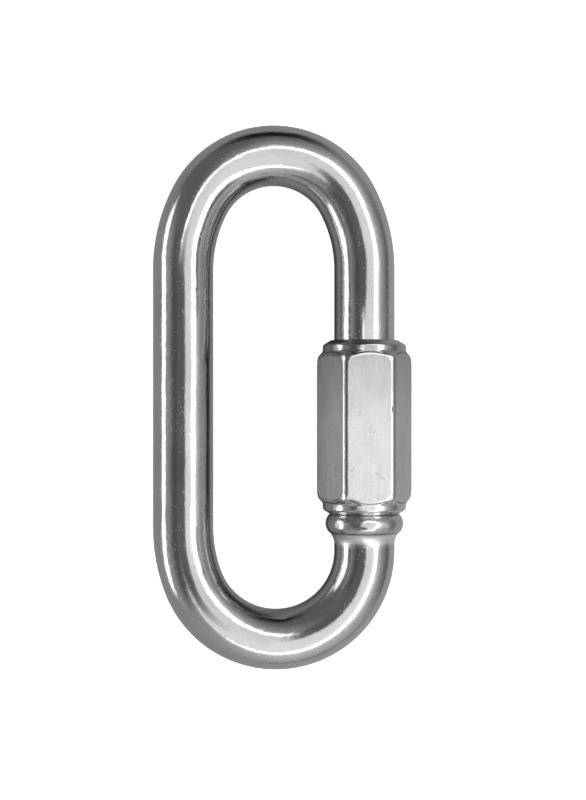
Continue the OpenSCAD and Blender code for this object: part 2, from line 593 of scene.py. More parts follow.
@dataclass(frozen=True)
class PolishedSteel:
    """Tumbled and polished bar: soft waves, faint draw lines along it, fine pits, dull specks, and painted
    shade in the corner between the bead and its fillet.
    """

    slot: Slot = Slot.BAR
    grey: float = 0.60
    stain: float = 0.05
    shine: float = 0.115
    dulling: float = 0.13
    dull_grain: Span = Span(0.48, 0.72)
    bead_dulling: float = 0.08
    # Painted shade: the grey of the corner between the bead and its fillet
    painted_crease_shade: float = 0.08
    pit_grey: float = 0.48
    pit_dull: float = 0.42
    fillet_grey: float = 0.86
    fillet_dull: float = 0.4
    wave_depth: float = 7.0e-5
    peel_depth: float = 2.0e-5
    grain_depth: float = 3.5e-6
    line_depth: float = 5.0e-6
    pit_depth: float = 2.0e-5
    dent_depth: float = 1.8e-4
    waves: Pattern = Pattern(0.28, detail=1.0, stretch=(0.4, 1.0, 1.0))
    peel: Pattern = Pattern(1.0, stretch=(0.6, 1.0, 1.0))
    dents: Pattern = Pattern(0.6, detail=1.0)
    lines: Pattern = Pattern(2.6, detail=3.0, stretch=(0.06, 1.0, 1.0))
    grain: Pattern = Pattern(4.2, rough=0.6)
    clouds: Pattern = Pattern(0.22, detail=3.0, stretch=(0.5, 1.0, 1.0))
    specks: tuple[Speck, Speck] = (Speck(0.9, 0.12), Speck(2.6, 0.24))
    speck_core: float = 1 / 3
    speck_lot: Span = Span(0.3, 1.1)
    speck_clouds: Span = Span(0.35, 0.65)
    speck_thicker: Span = Span(-0.25, 0.25)

    def scattered(self, w: Wires, at: Value, speck: Speck, thick: Value) -> bpy.types.NodeSocket:
        """One layer of specks: the middles of the cells of a cell pattern, each with a strength of its own.

        Args:
            w: the tree that they are built in.
            at: place on the bar.
            speck: the layer's scale and size.
            thick: added to each cell's lot, so that more of them have a speck.

        Returns:
            The speck's strength on a speck, 0 off it.
        """
        cells = w.add("ShaderNodeTexVoronoi", {"Vector": at, "Scale": speck.per_mm}, feature="F1")
        lot = w.add("ShaderNodeSeparateColor", {0: cells.outputs["Color"]}).outputs[0]
        strength = w.step(w.sum("ADD", lot, thick), *self.speck_lot)
        spot = w.step(cells.outputs["Distance"], speck.radius, speck.radius * self.speck_core)
        return w.sum("MULTIPLY", spot, strength)

    def material(self) -> bpy.types.Material:
        """Builds the finish on the straight-bar coordinates, in millimetres.

        Returns:
            The material.
        """
        made = bpy.data.materials.new(self.slot.value)
        made.use_nodes = True
        w = Wires(made.node_tree)
        at = w.attribute(Mark.STRAIGHT, "Vector")
        forged, matt, crease = (w.attribute(name) for name in (Mark.FORGED, Mark.MATT, Mark.CREASE_SHADE))
        grain = w.noise(at, self.grain)
        clouds = w.noise(at, self.clouds)
        thick = w.ramp(clouds, *self.speck_clouds, *self.speck_thicker)
        coarse, fine = (self.scattered(w, at, speck, thick) for speck in self.specks)
        pit = w.sum("MAXIMUM", coarse, fine)
        normal = w.relief(
            (w.noise(at, self.waves), self.wave_depth),
            (w.sum("MULTIPLY", w.noise(at, self.dents), forged), self.dent_depth),
            (w.noise(at, self.peel), self.peel_depth),
            (grain, self.grain_depth),
            (w.noise(at, self.lines), self.line_depth),
            (w.sum("MULTIPLY", pit, -1.0), self.pit_depth),
        )
        shade = w.ramp(clouds, *CLOUDY, self.grey - self.stain, self.grey + self.stain)
        # Pits and the fillet take greys of their own; the crease's grey is painted shade
        for grey, share in ((self.pit_grey, pit), (self.fillet_grey, matt), (self.painted_crease_shade, crease)):
            shade = w.mix(shade, grey, share)
        dull = w.ramp(grain, *self.dull_grain, self.shine, self.shine + self.dulling)
        dull = w.sum("ADD", dull, w.sum("MULTIPLY", forged, self.bead_dulling))
        for rough, share in ((self.pit_dull, pit), (self.fillet_dull, matt)):
            dull = w.mix(dull, rough, share)
        w.metal(shade, dull, normal)
        return made


@dataclass(frozen=True)
class SatinSteel:
    """Nut with satin flats brushed along it, a few scratches, edges and shoulders polished bright, and
    painted shade in its grooves and towards its upper end.
    """

    slot: Slot = Slot.NUT
    grey: float = 0.67
    stain: float = 0.03
    # Painted shade: how far the grey drops towards the nut's upper end, and the heights in millimetres over
    # which it drops
    painted_top_shade: float = 0.19
    painted_top_shade_heights: Span = Span(-4.0, 8.0)
    streak: float = 0.045
    mottle: float = 0.035
    mottled: Span = Span(0.35, 0.65)
    scratch_grey: float = 0.536
    # Painted shade in the grooves between the bevels and the shoulders
    painted_crease_shade: float = 0.1
    satin: float = 0.36
    satin_spread: float = 0.04
    bright: float = 0.19
    brush_depth: float = 5.0e-6
    grain_depth: float = 4.0e-6
    wave_depth: float = 2.0e-5
    scratch_depth: float = 1.0e-5
    brush: Pattern = Pattern(4.4, detail=4.0, rough=0.65, stretch=(1.0, 0.06, 1.0))
    grain: Pattern = Pattern(5.0)
    waves: Pattern = Pattern(0.55)
    clouds: Pattern = Pattern(0.5, detail=3.0, stretch=(1.0, 0.4, 1.0))
    hair_drift: Pattern = Pattern(1.5, detail=0.0, stretch=(1.0, 0.08, 0.3))
    hair_patches: Pattern = Pattern(0.75, detail=1.0)
    hair_width: Span = Span(0.03, 0.006)
    hair_share: Span = Span(0.57, 0.63)
    hair_turns_deg: tuple[float, float] = (38.0, -63.0)

    def hairs(self, w: Wires, at: Value, turn_deg: float) -> bpy.types.NodeSocket:
        """Short hairlines in patches: where a pattern stretched along one direction crosses its middle.

        Args:
            w: the tree that they are built in.
            at: place on the nut.
            turn_deg: how far the hairlines are turned from the nut's length.

        Returns:
            1 on a hairline, 0 off it.
        """
        turn = {"Vector": at, "Angle": np.radians(turn_deg)}
        turned = w.add("ShaderNodeVectorRotate", turn, rotation_type="Z_AXIS").outputs[0]
        off_middle = w.sum("SUBTRACT", w.noise(turned, self.hair_drift), sum(CLOUDY) / 2)
        line = w.step(w.sum("ABSOLUTE", off_middle), *self.hair_width)
        return w.sum("MULTIPLY", line, w.step(w.noise(turned, self.hair_patches), *self.hair_share))

    def material(self) -> bpy.types.Material:
        """Builds the finish on Object coordinates, in millimetres.

        Returns:
            The material.
        """
        made = bpy.data.materials.new(self.slot.value)
        made.use_nodes = True
        w = Wires(made.node_tree)
        at = w.scaled(w.add("ShaderNodeTexCoord", {}).outputs["Object"], (1 / MM, 1 / MM, 1 / MM))
        polish, crease = w.attribute(Mark.POLISH), w.attribute(Mark.CREASE_SHADE)
        satin = w.sum("SUBTRACT", 1.0, polish)
        brush, grain = w.noise(at, self.brush), w.noise(at, self.grain)
        rising, falling = (self.hairs(w, at, turn) for turn in self.hair_turns_deg)
        scratch = w.sum("MULTIPLY", w.sum("MAXIMUM", rising, falling), satin)
        normal = w.relief(
            (w.noise(at, self.waves), self.wave_depth),
            (w.sum("MULTIPLY", brush, satin), self.brush_depth),
            (grain, self.grain_depth),
            (w.sum("MULTIPLY", scratch, -1.0), self.scratch_depth),
        )
        height = w.add("ShaderNodeSeparateXYZ", {0: at}).outputs[1]
        shade = w.ramp(w.noise(at, self.clouds), *CLOUDY, self.grey - self.stain, self.grey + self.stain)
        # Painted shade: darker towards the nut's upper end
        shade = w.sum("SUBTRACT", shade, w.ramp(height, *self.painted_top_shade_heights, 0.0, self.painted_top_shade))
        shade = w.sum("ADD", shade, w.ramp(brush, *CLOUDY, -self.streak, self.streak))
        shade = w.sum("ADD", shade, w.ramp(grain, *self.mottled, -self.mottle, self.mottle))
        shade = w.mix(shade, self.scratch_grey, scratch)
        # Painted shade in the grooves between bevels and shoulders; the grooves themselves are cut in the
        # mesh
        shade = w.mix(shade, self.painted_crease_shade, crease)
        dull = w.ramp(brush, *CLOUDY, self.satin - self.satin_spread, self.satin + self.satin_spread)
        dull = w.mix(dull, self.bright, polish)
        w.metal(shade, dull, normal)
        return made


@dataclass
class LinkBar:
    """The bent bar: threaded tips, the stop bead with its fillet, and the plain bar between."""

    route: Route = field(default_factory=Route)
    lie: Lie = field(default_factory=Lie)
    thread: Thread = field(default_factory=Thread)
    finish: PolishedSteel = field(default_factory=PolishedSteel)
    bar_r: float = 5.0
    columns: int = 96
    step: float = 0.75
    tip_r: float = 4.2
    crest_r: float = 5.38
    root_r: float = 4.65
    stub_length: float = STUB_LENGTH
    relief_length: float = 0.5
    bead_rise: float = 1.45
    bead_length: float = 3.0
    bead_bulge_r: float = 2.15
    fillet_step: float = 0.12
    fillet_length: float = 1.7
    fillet_power: float = 1.7
    edge_r: float = 0.1
    # Half width of the band at the bead's corner where shade is painted
    crease_half: float = 0.1
    upper_thread: float = 10.6
    runout: float = 1.2
    forged_above: float = 0.5
    forged_below: float = 0.6
    matt_start: float = 0.2
    matt_end: Span = Span(0.3, -0.2)
    rows_per_pitch: int = 14
    bulge_rows: int = 33
    fillet_rows: int = 18
    edge_rows: int = 4
    end_rings: tuple[float, ...] = (0.34, 0.67, 1.0)

    def bead_outline(self) -> np.ndarray:
        """Distance along the bar and radius over the seat, the bead and its fillet.

        The bead is an arc of bead_bulge_r whose top stands bead_rise over the bar, cut square at both ends;
        the fillet falls from the bead's lower face to the bar as a power of the distance that is left.

        Returns:
            One row for each point: distance from the lower tip, radius.
        """
        half = self.bead_length / 2
        middle = self.stub_length + half
        core = self.bar_r + self.bead_rise - self.bead_bulge_r
        swing = np.arcsin(half / self.bead_bulge_r)
        turn = np.linspace(-swing, swing, self.bulge_rows)
        arc = np.stack((np.sin(turn), np.cos(turn)), axis=1)
        bulge = np.array([middle, core]) + self.bead_bulge_r * arc
        fall = bulge[0, 1] - self.bar_r - self.fillet_step
        left = np.linspace(1, 0, self.fillet_rows)
        foot = self.stub_length + self.bead_length + self.fillet_length
        slope = self.bar_r + fall * left ** self.fillet_power
        fillet = np.stack((foot - self.fillet_length * left, slope), axis=1)
        seat = np.array([[self.stub_length, self.root_r]])
        return rounded(np.concatenate((seat, bulge, fillet)), self.edge_r, self.edge_rows)

    def stations(self) -> tuple[np.ndarray, np.ndarray]:
        """Distances along the bar and plain radii, from the lower tip's end face to the upper one's.

        Returns:
            Distances and radii, one for each row of the surface.
        """
        pitch_step = self.thread.pitch / self.rows_per_pitch
        length = self.route.length
        face = np.array(self.end_rings) * self.tip_r
        stub = np.arange(pitch_step, self.stub_length - TINY, pitch_step)
        bead = self.bead_outline()
        upper_start = length - self.upper_thread - self.runout
        plain = np.arange(bead[-1, 0] + self.step, upper_start - self.step / 2, self.step)
        upper = np.arange(upper_start, length - pitch_step / 2, pitch_step)
        first, last = np.zeros_like(face), np.full_like(face, length)
        s = np.concatenate((first, stub, bead[:, 0], plain, upper, last))
        bare = np.full(len(plain) + len(upper), self.bar_r)
        radius = np.concatenate((face, np.full_like(stub, self.bar_r), bead[:, 1], bare, face[::-1]))
        return s, radius

    def surface(self) -> tuple[np.ndarray, np.ndarray, np.ndarray]:
        """The bar's points: a circle of the row's radius carried along the route, with the thread's ridges.

        A point is the centre line plus radius times (cosine across the loop, sine out of it). In the
        threaded stretches the radius goes from root to crest with the thread's ridge; at the tips it is
        held inside the chamfer's cone.

        Returns:
            Points in metres, rows by columns by 3; distances along the bar; angles round it.
        """
        s, radius = self.stations()
        centre, outward = self.route.along(s)
        angle = np.arange(self.columns) * FULL_TURN / self.columns
        dx = outward[:, :1] * np.cos(angle)
        dz = np.broadcast_to(np.sin(angle), dx.shape)
        ridge = self.thread.ridge(centre[:, 1:2], dx, dz)
        length = self.route.length
        lower = eased(s, self.stub_length - self.relief_length / 2, self.stub_length - self.relief_length)
        upper = eased(s, length - self.upper_thread - self.runout, length - self.upper_thread)
        low_end = s < self.stub_length - TINY
        cut = np.where(low_end, 1.0, upper)[:, None]
        height = ridge * np.where(low_end, lower, 1.0)[:, None]
        threaded = self.root_r + (self.crest_r - self.root_r) * height
        r = radius[:, None] * (1 - cut) + threaded * cut
        to_tip = np.minimum(s, length - s)
        cone = np.where(to_tip < self.stub_length / 2, self.tip_r + to_tip, np.inf)
        r = np.minimum(r, cone[:, None])
        end_face = np.isclose(to_tip, 0)
        r = np.where(end_face[:, None], radius[:, None], r)
        across = np.cos(angle)[None, :, None] * outward[:, None]
        out = np.sin(angle)[None, :, None] * np.array([0.0, 0.0, 1.0])
        points = centre[:, None] + r[..., None] * (across + out)
        return self.lie.placed(points), s, angle

    def build(self) -> bpy.types.Object:
        """Builds the bar, marks it for its finish and sets it on the link body.

        Returns:
            The bar.
        """
        grid, s, angle = self.surface()
        piece = skin("bent_bar", grid, Ends.CAPPED)
        circle = np.stack((np.zeros_like(angle), np.cos(angle), np.sin(angle)), axis=-1)
        mark(piece, Mark.STRAIGHT, self.bar_r * circle + s[:, None, None] * np.array([1.0, 0.0, 0.0]))
        bead_end = self.stub_length + self.bead_length
        foot = bead_end + self.fillet_length
        bead = eased(s, self.stub_length - self.forged_above, self.stub_length)
        bead = bead * eased(s, bead_end + self.forged_below, bead_end)
        fillet = eased(s, bead_end, bead_end + self.matt_start)
        fillet = fillet * eased(s, foot + self.matt_end.start, foot + self.matt_end.end)
        # Painted shade: a narrow band at the corner between the bead and its fillet
        crease = np.exp(-((s - bead_end) / self.crease_half) ** 2)
        for name, value in ((Mark.FORGED, bead), (Mark.MATT, fillet), (Mark.CREASE_SHADE, crease)):
            mark(piece, name, np.repeat(value[:, None], self.columns, axis=1))
        self.dress(piece)
        return piece

    def dress(self, piece: bpy.types.Object) -> None:
        """Gives the bar its finish, named for its slot, and its body, and hides the CAD part that it stands
        in for.

        Args:
            piece: the bar.
        """
        piece.data.materials.append(self.finish.material())
        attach(piece, Body.LINK.value)
        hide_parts("link_bar")


@dataclass
class SleeveNut:
    """The hexagonal sleeve: rounded long edges, turned shoulders and cones, and a threaded bore."""

    lie: Lie = field(default_factory=Lie)
    thread: Thread = field(default_factory=Thread)
    finish: SatinSteel = field(default_factory=SatinSteel)
    seat_y: float = LOWER_TIP_Y - STUB_LENGTH
    length: float = 28.8
    flat_r: float = FLAT_R
    corner_r: float = CORNER_R
    shoulder_r: float = 6.9
    end_r: float = 5.6
    mouth_r: float = 5.4
    bore_r: float = 5.1
    groove_r: float = 5.5
    cone_length: float = 0.8
    shoulder_length: float = 1.1
    mouth_length: float = 2.0
    edge_r: float = 0.34
    blend: float = 0.12
    flat_half: float = 3.5
    flat_reach: float = 11.72
    arch_r: float = 9.5
    border_r: float = 0.85
    border_waver: float = 0.025
    bevel_slope: float = 0.24
    bevel_ease: float = 0.12
    # The groove between bevel and shoulder: where it lies past a flat's end, its half width and its depth;
    # shade is painted into it as well
    crease_at: float = 0.64
    crease_half: float = 0.1
    crease_depth: float = 0.06
    nick_height: float = 17.4
    nick_half: float = 0.34
    nick_depth: float = 0.1
    waver_waves: tuple[tuple[float, float], ...] = ((0.9, 1.0), (2.3, 4.0), (5.1, 0.0))
    thread_ends: Span = Span(0.3, 1.2)
    polish_edge: Span = Span(-0.08, 0.12)
    edge_sweep_deg: float = 6.5
    corner_columns: int = 15
    flat_columns: int = 17
    rows_per_pitch: int = 9
    end_step: float = 0.06
    middle_rows: int = 110

    def angles(self) -> np.ndarray:
        """Angles round the nut, closer together on the rounded edges, with a corner on the X axis.

        Returns:
            Angles in radians, one for each column of the surface.
        """
        near = np.radians(self.edge_sweep_deg)
        corner = np.linspace(-near, near, self.corner_columns, endpoint=False)
        flat = np.linspace(near, SIXTH_TURN - near, self.flat_columns, endpoint=False)
        sector = np.concatenate((corner, flat))
        return (sector[None] + np.arange(6)[:, None] * SIXTH_TURN).ravel()

    def past_end(self, across: np.ndarray, height: np.ndarray) -> np.ndarray:
        """Distance along the nut past the arched end of a flat, below 0 on the flat."""
        return np.abs(height - self.length / 2) - self.flat_reach + across ** 2 / (2 * self.arch_r)

    def past_border(self, across: np.ndarray, height: np.ndarray) -> np.ndarray:
        """Distance past the border of a flat, below 0 on the flat.

        The border is a rectangle with rounded corners and arched ends. Its sides waver by a sum of sines
        along the nut, each with its rate and phase, as hand polishing leaves them.

        Args:
            across: distance from the middle line of the flat.
            height: height over the seat.

        Returns:
            Distances, in the arrays' common shape.
        """
        waver = sum(np.sin(rate * height + phase) for rate, phase in self.waver_waves)
        half = self.flat_half + self.border_waver * waver - self.border_r
        side = np.abs(across) - half
        end = self.past_end(across, height) + self.border_r
        outer = np.hypot(np.maximum(side, 0), np.maximum(end, 0))
        return outer + np.minimum(np.maximum(side, end), 0) - self.border_r

    def hexagon(self, turn: np.ndarray, height: np.ndarray) -> tuple[np.ndarray, np.ndarray, np.ndarray]:
        """Radius of the hexagon at each angle and height, the distance past a flat's border, and creases.

        On a flat the radius is the flat's distance over the cosine from the flat's middle. Past the border
        the skin falls back along a hyperbola into a bevel, but no deeper than the round shoulders. The
        crease between bevel and shoulder is a bell curve over the distance past the flat's end; it cuts a
        shallow groove, and the finish paints shade into it.

        Args:
            turn: angles round the nut, 0 at a corner.
            height: heights over the seat.

        Returns:
            Radii, distances past the border and creases from 0 to 1, rows by columns.
        """
        from_flat = (turn % SIXTH_TURN - SIXTH_TURN / 2)[None]
        across = self.flat_r * np.tan(from_flat)
        past = self.past_border(across, height[:, None])
        back = self.bevel_slope * (np.hypot(np.maximum(past, 0), self.bevel_ease) - self.bevel_ease)
        end = self.past_end(across, height[:, None])
        crease = np.exp(-((end - self.crease_at) / self.crease_half) ** 2)
        crease = crease * eased(np.abs(across), self.flat_half, self.flat_half - self.border_r)
        radius = np.maximum((self.flat_r - back) / np.cos(from_flat), self.shoulder_r)
        return radius - self.crease_depth * crease, past, crease

    def outline(self) -> np.ndarray:
        """The turned outline from the lip at one end to the lip at the other.

        Returns:
            One row for each point: height over the seat, radius.
        """
        hex_start = self.cone_length + self.shoulder_length
        end = np.array([
            (0.0, self.mouth_r),
            (0.0, self.end_r),
            (self.cone_length, self.shoulder_r),
            (hex_start, self.shoulder_r),
            (hex_start + self.corner_r - self.shoulder_r, self.corner_r),
            (hex_start + 2 * self.corner_r - 2 * self.shoulder_r, self.corner_r),
        ])
        near = stepped(rounded(end, self.edge_r), self.end_step)
        middle = np.linspace(near[-1, 0], self.length - near[-1, 0], self.middle_rows)[1:-1]
        flats = np.stack((middle, np.full_like(middle, self.corner_r)), axis=1)
        far = near[::-1] * (-1, 1) + (self.length, 0)
        return np.concatenate((near, flats, far))

    def bore(self, angle: np.ndarray) -> tuple[np.ndarray, np.ndarray]:
        """The bore from the top mouth to the bottom one: tapered mouths and the thread's groove.

        The radius is the bore's plus the groove's depth times the height of the bar's ridge, which fades out
        towards both ends, and it is at least the mouth's cone.

        Args:
            angle: angles round the nut in the loop's plane.

        Returns:
            Heights over the seat, and radii as rows by columns.
        """
        rows = int(self.length / self.thread.pitch * self.rows_per_pitch)
        height = np.linspace(self.length, 0, rows + 2)[1:-1]
        near_end = np.minimum(height, self.length - height)[:, None]
        ridge = self.thread.ridge(height[:, None] + self.seat_y, np.cos(angle), np.sin(angle))
        groove = ridge * eased(near_end, *self.thread_ends)
        cut = self.bore_r + (self.groove_r - self.bore_r) * groove
        mouth = self.mouth_r - (self.mouth_r - self.bore_r) * near_end / self.mouth_length
        return height, np.maximum(cut, mouth)

    def surface(self) -> tuple[np.ndarray, np.ndarray, np.ndarray]:
        """The nut's points, where it is polished and where it is creased.

        Outside, the radius is the lesser of the turned outline and the rounded hexagon, with the corner
        between them eased, less a bell-shaped nick on one long edge; inside it is the bore's. A point is the
        gate limb's axis plus the radius along its angle. The polish is 1 past the borders of the flats.

        Returns:
            Points in metres, rows by columns by 3; polish and creases from 0 to 1, rows by columns.
        """
        turn = self.angles()
        angle = turn - self.lie.lean
        outline = self.outline()
        hexagon, past, crease = self.hexagon(turn, outline[:, 0])
        outside = eased_least(outline[:, 1:2], hexagon, self.blend)
        nick_turn = (turn - SIXTH_TURN) * self.corner_r / self.nick_half
        nick_rise = (outline[:, :1] - self.nick_height) / self.nick_half
        outside = outside - self.nick_depth * np.exp(-nick_turn ** 2 - nick_rise ** 2)
        height, inside = self.bore(angle)
        r = np.concatenate((outside, inside))
        y = np.concatenate((outline[:, 0], height)) + self.seat_y
        level = np.broadcast_to(y[:, None], r.shape)
        points = np.stack((self.lie.limb_x + r * np.cos(angle), level, r * np.sin(angle)), axis=-1)
        polish = np.concatenate((eased(past, *self.polish_edge), np.ones_like(inside)))
        crease = np.concatenate((crease, np.zeros_like(inside)))
        return self.lie.placed(points), polish, crease

    def build(self) -> bpy.types.Object:
        """Builds the nut, marks where it is polished and sets it on the nut body.

        Returns:
            The nut.
        """
        grid, polish, crease = self.surface()
        piece = skin("hexagon_sleeve", grid[:, ::-1], Ends.JOINED)
        mark(piece, Mark.POLISH, polish[:, ::-1])
        # The creases mark where shade is painted into the grooves
        mark(piece, Mark.CREASE_SHADE, crease[:, ::-1])
        self.dress(piece)
        return piece

    def dress(self, piece: bpy.types.Object) -> None:
        """Gives the nut its finish, named for its slot, and its body, and hides the CAD part that it stands
        in for.

        Args:
            piece: the nut.
        """
        piece.data.materials.append(self.finish.material())
        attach(piece, Body.NUT.value)
        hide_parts("sleeve_nut")


class Way(NamedTuple):
    """A direction from the link, as the tent's nodes read it.

    Tilt, right and up are degrees from the lens's axis. Cosine and sine give the direction about that axis,
    1 to the right and 1 upwards. Past is the tilt less that of the roof's border.
    """

    tilt: bpy.types.NodeSocket
    right: bpy.types.NodeSocket
    up: bpy.types.NodeSocket
    cosine: bpy.types.NodeSocket
    sine: bpy.types.NodeSocket
    past: bpy.types.NodeSocket


@dataclass(frozen=True)
class LightTent:
    """Soft light from all sides, as a world: brightness by direction, in degrees right and up of the lens.

    On this flat map of the tent lie a grey floor, a fading right wall, a dark back wall, a lit roof with a
    bright border, a dark gap on the left, and a low bright strip beyond the gap. Fields named for a light, a
    loss or a glow are brightnesses; the others are degrees, or cosines and sines of a direction.
    """

    lens_lean_deg: float
    bright_light: float = 3.0
    least_level: float = 1e-4
    quarters: Span = Span(-90, 90)
    floor_light_up: Span = Span(0.43, 0.37)
    floor_light_right: Span = Span(-0.07, 0.03)
    horizon: Span = Span(96, 88)
    side_turn_deg: float = 60.0
    side_light: Span = Span(0.15, 0.48)
    halo_past: Span = Span(6, 40)
    halo_light: float = 0.3
    halo_left: float = -0.7
    wall_right: Span = Span(15, 40)
    wall_foot: Span = Span(110, 98)
    wall_aside: Span = Span(70, 20)
    wall_upper: Span = Span(48, 66)
    wall_upper_light: Span = Span(1.1, 0.46)
    wall_lower: Span = Span(66, 92)
    wall_lower_loss: float = 0.28
    back_up: Span = Span(77, 89)
    back_soft: float = 12.0
    back_aside: Span = Span(62, 10)
    back_light: float = 0.012
    roof_up: Span = Span(12, -14)
    roof_light: Span = Span(0.98, 1.12)
    roof_edge: Span = Span(2, -3)
    roof_dip: Span = Span(-8, -4)
    roof_dip_soft: float = 3.0
    roof_dip_loss: float = 0.2
    border_tilt: float = 30.1
    border_waves: tuple[float, ...] = (17.8, -9.1, -5.25, 3.5, 3.4)
    border_half: Span = Span(2.6, 5.0)
    border_soft: float = 0.9
    border_shown: Span = Span(-1.4, -1.15)
    border_share: Span = Span(0.2, 1.0)
    gap_slants: Span = Span(2.2, -1.2)
    gap_edge: Span = Span(4, -12)
    gap_end: Span = Span(-72, -52)
    gap_right: Span = Span(-22, 12)
    gap_light: Span = Span(0.1, 0.42)
    gap_glow: float = 0.32
    gap_glow_right: Span = Span(-30, -62)
    strip_right: Span = Span(-80, -71)
    strip_soft: float = 6.0
    strip_aside: Span = Span(42, 28)
    line_up: Span = Span(0.1, -0.4)
    line_right: Span = Span(-0.3, 0.1)
    line_tilt: Span = Span(97, 99)
    line_soft: float = 1.5
    line_light: float = 0.15

    def border(self, w: Wires, cosine: Value, sine: Value) -> Value:
        """Tilt at which the lit roof ends, in degrees: a circle about the lens that is waved by direction.

        The radius is a sum of the direction's cosine and sine, of those of twice its angle, and of the
        sine of three times its angle.

        Args:
            w: the tree that the sum is built in.
            cosine: cosine of the direction, 1 to the right.
            sine: sine of the direction, 1 upwards.

        Returns:
            The tilt of the border in that direction.
        """
        double_cosine = w.sum("SUBTRACT", w.sum("MULTIPLY", cosine, cosine), w.sum("MULTIPLY", sine, sine))
        double_sine = w.sum("MULTIPLY", w.sum("MULTIPLY", cosine, sine), 2.0)
        cubed = w.sum("MULTIPLY", w.sum("POWER", sine, 3.0), 4.0)
        triple_sine = w.sum("SUBTRACT", w.sum("MULTIPLY", sine, 3.0), cubed)
        total: Value = self.border_tilt
        for part, size in zip((cosine, sine, double_cosine, double_sine, triple_sine), self.border_waves):
            total = w.sum("MULTIPLY_ADD", part, size, total)
        return total

    def way(self, w: Wires) -> Way:
        """Reads a ray's direction: its tilt from the lens's axis, split along right and up.

        Args:
            w: the world's tree.

        Returns:
            The direction.
        """
        ray = w.add("ShaderNodeTexCoord", {}).outputs["Generated"]
        lean = {"Vector": ray, "Angle": np.radians(self.lens_lean_deg)}
        turned = w.add("ShaderNodeVectorRotate", lean, rotation_type="Y_AXIS").outputs[0]
        parts = w.add("ShaderNodeSeparateXYZ", {0: turned}).outputs
        x, y, z = parts[0], parts[1], parts[2]
        tilt = w.sum("MULTIPLY", w.sum("ARCCOSINE", z), float(np.degrees(1.0)))
        level = w.sum("SQRT", w.sum("ADD", w.sum("MULTIPLY", x, x), w.sum("MULTIPLY", y, y)))
        spread = w.sum("DIVIDE", tilt, w.sum("MAXIMUM", level, self.least_level))
        right = w.sum("MULTIPLY", x, spread)
        up = w.sum("MULTIPLY", y, spread)
        reach = w.sum("MAXIMUM", tilt, 1.0)
        cosine = w.sum("DIVIDE", right, reach)
        sine = w.sum("DIVIDE", up, reach)
        past = w.sum("SUBTRACT", tilt, self.border(w, cosine, sine))
        return Way(tilt, right, up, cosine, sine, past)

    def ground(self, w: Wires, way: Way) -> bpy.types.NodeSocket:
        """The grey floor, the sides over the horizon and a halo round the roof.

        Args:
            w: the world's tree.
            way: the direction.

        Returns:
            The brightness.
        """
        light = w.sum("ADD", w.ramp(way.up, *self.quarters, *self.floor_light_up),
                      w.ramp(way.right, *self.quarters, *self.floor_light_right))
        turn = np.radians(self.side_turn_deg)
        fall = w.sum("SUBTRACT", w.sum("MULTIPLY", way.cosine, float(np.cos(turn))),
                     w.sum("MULTIPLY", way.sine, float(np.sin(turn))))
        above = w.step(way.tilt, *self.horizon)
        light = w.mix(light, w.ramp(fall, -1.0, 1.0, *self.side_light), above)
        halo = w.sum("MULTIPLY", w.ramp(way.past, *self.halo_past, self.halo_light, 0.0),
                     w.ramp(way.cosine, self.halo_left, 0.0, 0.0, 1.0))
        return w.sum("ADD", light, w.sum("MULTIPLY", halo, above))

    def walls(self, w: Wires, way: Way, light: Value) -> bpy.types.NodeSocket:
        """The right wall, which fades downwards, and the dark back wall.

        Args:
            w: the world's tree.
            way: the direction.
            light: the brightness behind them.

        Returns:
            The brightness with them.
        """
        wall = w.sum("MULTIPLY", w.step(way.right, *self.wall_right), w.step(way.tilt, *self.wall_foot))
        beside = w.step(w.sum("ABSOLUTE", way.up), *self.wall_aside)
        fading = w.sum("SUBTRACT", w.ramp(way.tilt, *self.wall_upper, *self.wall_upper_light),
                       w.ramp(way.tilt, *self.wall_lower, 0.0, self.wall_lower_loss))
        light = w.mix(light, fading, w.sum("MULTIPLY", wall, beside))
        beside = w.step(w.sum("ABSOLUTE", way.right), *self.back_aside)
        back = w.sum("MULTIPLY", w.band(way.up, *self.back_up, self.back_soft), beside)
        return w.mix(light, self.back_light, back)

    def roof(self, w: Wires, way: Way, light: Value) -> bpy.types.NodeSocket:
        """The lit roof, a little darker just inside its border, and the bright border.

        Args:
            w: the world's tree.
            way: the direction.
            light: the brightness behind them.

        Returns:
            The brightness with them.
        """
        dip = w.sum("MULTIPLY", w.band(way.past, *self.roof_dip, self.roof_dip_soft), self.roof_dip_loss)
        lit = w.sum("SUBTRACT", w.ramp(way.up, *self.roof_up, *self.roof_light), dip)
        light = w.mix(light, lit, w.step(way.past, *self.roof_edge))
        half = w.ramp(way.cosine, 0.0, 1.0, *self.border_half)
        shown = w.ramp(w.sum("ADD", way.cosine, way.sine), *self.border_shown, *self.border_share)
        edge = w.band(w.sum("DIVIDE", way.past, half), -1.0, 1.0, self.border_soft)
        return w.mix(light, self.bright_light, w.sum("MULTIPLY", shown, edge))

    def gap(self, w: Wires, way: Way, light: Value) -> bpy.types.NodeSocket:
        """The dark gap on the left, lit a little from beyond, and the bright strip beyond it.

        Args:
            w: the world's tree.
            way: the direction.
            light: the brightness behind them.

        Returns:
            The brightness with them.
        """
        slants = [w.sum("MULTIPLY", way.up, slant) for slant in self.gap_slants]
        edge = w.sum("ADD", way.right, w.sum("MAXIMUM", *slants))
        dark = w.sum("MULTIPLY", w.step(edge, *self.gap_edge), w.step(way.right, *self.gap_end))
        light = w.mix(light, w.ramp(way.right, *self.gap_right, *self.gap_light), dark)
        glow = w.sum("MULTIPLY", dark, self.gap_glow)
        light = w.sum("ADD", light, w.sum("MULTIPLY", w.step(way.right, *self.gap_glow_right), glow))
        beside = w.step(w.sum("ABSOLUTE", way.up), *self.strip_aside)
        strip = w.sum("MULTIPLY", w.band(way.right, *self.strip_right, self.strip_soft), beside)
        return w.mix(light, self.bright_light, strip)

